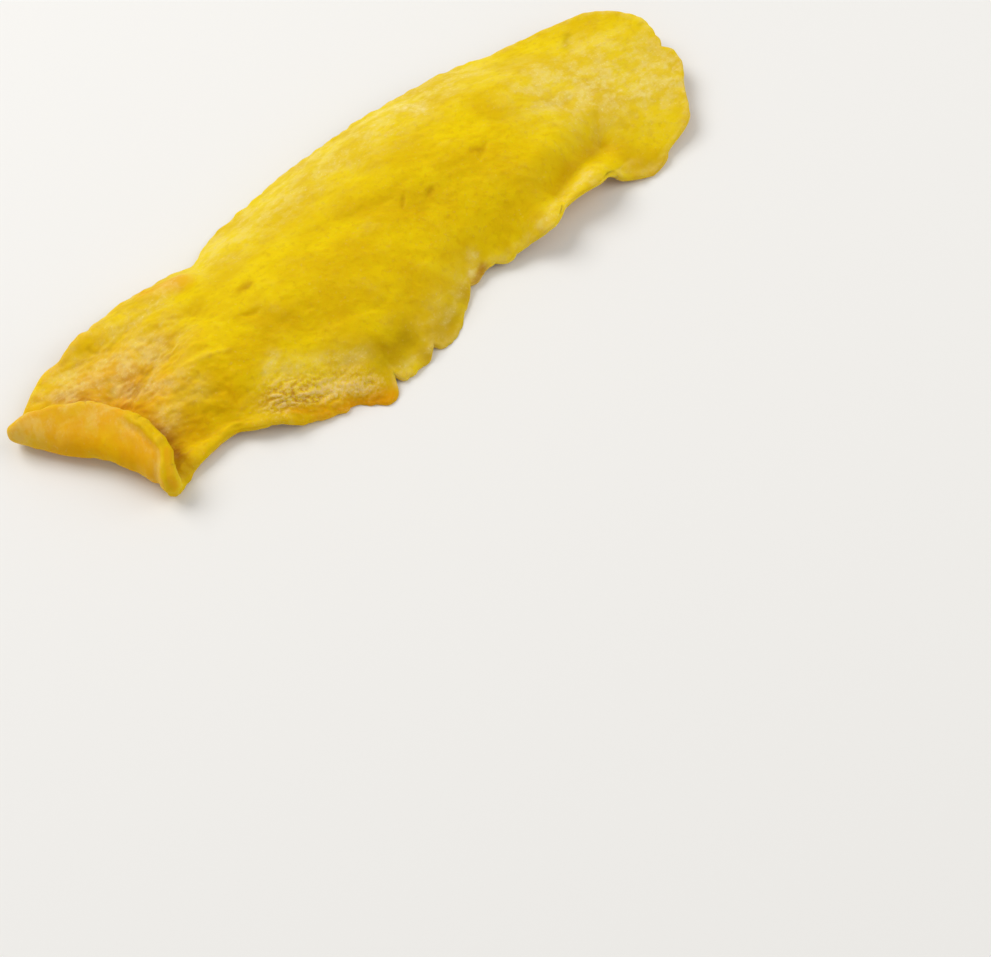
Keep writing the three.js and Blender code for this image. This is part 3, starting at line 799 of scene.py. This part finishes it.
def driedMangoFlesh():
    material = bpy.data.materials.new("driedMangoFleshTrayDried")
    material.use_nodes = True
    tree = material.node_tree
    tree.nodes.clear()
    fields = ["rimDistance", "skinSide", "crust", "threads", "bead", "hollow", *tints]
    found = {
        name: addNode(tree, "ShaderNodeAttribute", {"attribute_name": name}).outputs["Fac"]
        for name in fields
    }
    for name, pattern in flesh["patterns"].items():
        place = addNode(tree, "ShaderNodeAttribute", {"attribute_name": pattern["place"]})
        scaled = addNode(
            tree, "ShaderNodeMapping", None,
            {"Vector": place.outputs["Vector"], "Scale": [1 / size for size in pattern["size"]]},
        )
        found[name] = addNode(
            tree, "ShaderNodeTexNoise", None,
            {
                "Vector": scaled.outputs["Vector"], "Scale": 1.0,
                "Detail": pattern["detail"], "Roughness": pattern["rough"],
            },
        ).outputs["Fac"]

    def share(value, start, end, low, high):
        # From low, where a value is at start, to high, where it is at end
        return addNode(
            tree, "ShaderNodeMapRange", {"interpolation_type": "SMOOTHSTEP"},
            {"Value": value, "From Min": start, "From Max": end, "To Min": low, "To Max": high},
        ).outputs["Result"]

    def both(kind, first, second):
        node = addNode(tree, "ShaderNodeMath", {"operation": kind, "use_clamp": True})
        for socket, value in zip(node.inputs, (first, second)):
            feed(tree, value, socket)
        return node.outputs["Value"]

    def times(first, second):
        return both("MULTIPLY", first, second)

    def most(first, second):
        return both("MAXIMUM", first, second)

    mask = {name: share(found[field], *numbers) for name, (field, *numbers) in masks.items()}

    # The film of sugar: in patches, along the rim and on what stands proud, and broken up like frost
    rimPale = times(mask["rimPale"], mask["rimNotWarm"])
    lipPale = times(found["skinSide"], mask["lipPale"])
    film = times(most(found["bloom"], most(rimPale, lipPale)), mask["patchy"])
    bloom = times(most(film, times(mask["proud"], mask["proudFilm"])), mask["frosted"])
    bare = most(times(found["crust"], found["warm"]), found["bead"])
    bloom = times(bloom, share(bare, *flesh["bareBloom"]))
    # Grains of sugar, thick in the film and few elsewhere
    grains = times(times(mask["grains"], mask["grainsInFilm"]), mask["grainsInBloom"])
    warm = times(most(found["warm"], mask["skinWarm"]), mask["warmMottles"])
    # The crust, except for its orange side, with pale flecks and crumbs
    torn = times(found["crust"], mask["tornNotWarm"])
    flecks = times(torn, mask["flecks"])
    crumbs = times(torn, mask["crumbs"])

    # Each layer of colour over the last: how much of it shows, and its colour
    layers = [
        (mask["lemonClouds"], "lemon"),
        (mask["amberMottles"], "amberAndShade"),
        (mask["amberStreaks"], "amberAndShade"),
        (mask["amberFrost"], "amberAndShade"),
        (warm, "orange"),
        # deeper gold patches, and painted shade in the bay's trough, creases and valleys
        (times(found["amberAndShade"], mask["amberClouds"]), "amberAndShade"),
        # painted shade in the creases and pores
        (mask["amberShadeInHollows"], "amberAndShade"),
        # painted olive shade along the near edge, broken up by mottles
        (times(found["oliveShade"], mask["oliveShadeMottles"]), "oliveShade"),
        # painted brown shade in the valley beside the lip and in creases
        (times(found["creaseAndValleyShade"], mask["shadeBrownMottles"]), "shadeBrownColour"),
        # painted shade in the grooves between the crust's threads
        (times(torn, mask["threadGapShade"]), "gap"),
        (times(crumbs, mask["threads"]), "thread"),
        (mask["bead"], "gold"),
        (times(bloom, found["warm"]), "blush"),
        (bloom, "cream"),
        (times(flecks, flesh["fleckShare"]), "cream"),
        (grains, "cream"),
    ]
    shown = colour(flesh["colours"]["gold"])
    for amount, name in layers:
        mixed = addNode(tree, "ShaderNodeMix", {"data_type": "RGBA"})
        # The node has several inputs and results of the same names, so these go by their places
        for k, value in ((0, amount), (6, shown), (7, colour(flesh["colours"][name]))):
            feed(tree, value, mixed.inputs[k])
        shown = mixed.outputs[2]

    rough = share(bloom, 0.0, 1.0, flesh["roughness"], flesh["bloomRoughness"])
    gritRelief = times(times(found["grit"], mask["gritty"]), flesh["bumpGrit"])
    relief = both("ADD", gritRelief, times(found["frost"], flesh["bumpFrost"]))
    bump = addNode(
        tree, "ShaderNodeBump", None,
        {"Strength": 1.0, "Distance": flesh["bump"] * millimetre, "Height": relief},
    )
    shader = addNode(
        tree, "ShaderNodeBsdfPrincipled", {"subsurface_method": "RANDOM_WALK"},
        {
            "Base Color": shown,
            "Roughness": rough,
            "IOR": flesh["ior"],
            "Specular IOR Level": flesh["gloss"],
            "Subsurface Weight": flesh["glow"],
            "Subsurface Radius": flesh["glowReach"],
            "Subsurface Scale": flesh["glowDepth"] * millimetre,
            "Normal": bump.outputs["Normal"],
        },
    )
    addNode(tree, "ShaderNodeOutputMaterial", None, {"Surface": shader.outputs["BSDF"]})
    return material


slicePiece.data.materials.append(driedMangoFlesh())
print("Flesh finished")

# The table is a plain pale board that fills the picture: its size in m and the gap under the slice
# in mm
table = {"size": 3.0, "colour": "#F0EEEA", "roughness": 0.9, "gap": 0.05}


def makeTable():
    half = table["size"] / 2
    drop = -table["gap"] * millimetre
    corners = [(-half, -half, drop), (half, -half, drop), (half, half, drop), (-half, half, drop)]
    mesh = bpy.data.meshes.new("table")
    mesh.from_pydata(corners, [], [(0, 1, 2, 3)])
    board = bpy.data.objects.new("table", mesh)
    bpy.context.scene.collection.objects.link(board)
    material = bpy.data.materials.new("matteBoardPainted")
    material.use_nodes = True
    shader = material.node_tree.nodes["Principled BSDF"]
    shader.inputs["Base Color"].default_value = colour(table["colour"])
    shader.inputs["Roughness"].default_value = table["roughness"]
    board.data.materials.append(material)


makeTable()

# Soft studio light: a large softbox on the picture's upper left, a weaker one on its right, pale air.
# Places and sizes are in m
lights = [
    {"name": "softboxUpperLeft", "from": (-0.2, 0.5, 0.62), "size": 0.5, "watts": 4.15},
    {"name": "softboxRight", "from": (0.55, -0.35, 0.5), "size": 0.6, "watts": 2.05},
]
air = {"colour": "#FFFFFF", "strength": 0.45}


def makeLights():
    for light in lights:
        data = bpy.data.lights.new(light["name"], "AREA")
        data.energy = light["watts"]
        data.size = light["size"]
        lamp = bpy.data.objects.new(light["name"], data)
        bpy.context.scene.collection.objects.link(lamp)
        lamp.location = light["from"]
        lamp.rotation_mode = "QUATERNION"
        lamp.rotation_quaternion = (-Vector(light["from"])).to_track_quat("-Z", "Y")
    world = bpy.data.worlds.new("paleAir")
    world.use_nodes = True
    background = world.node_tree.nodes["Background"]
    background.inputs["Color"].default_value = colour(air["colour"])
    background.inputs["Strength"].default_value = air["strength"]
    bpy.context.scene.world = world


makeLights()
bpy.context.scene.view_settings.view_transform = "Standard"
print("Table and lights placed")
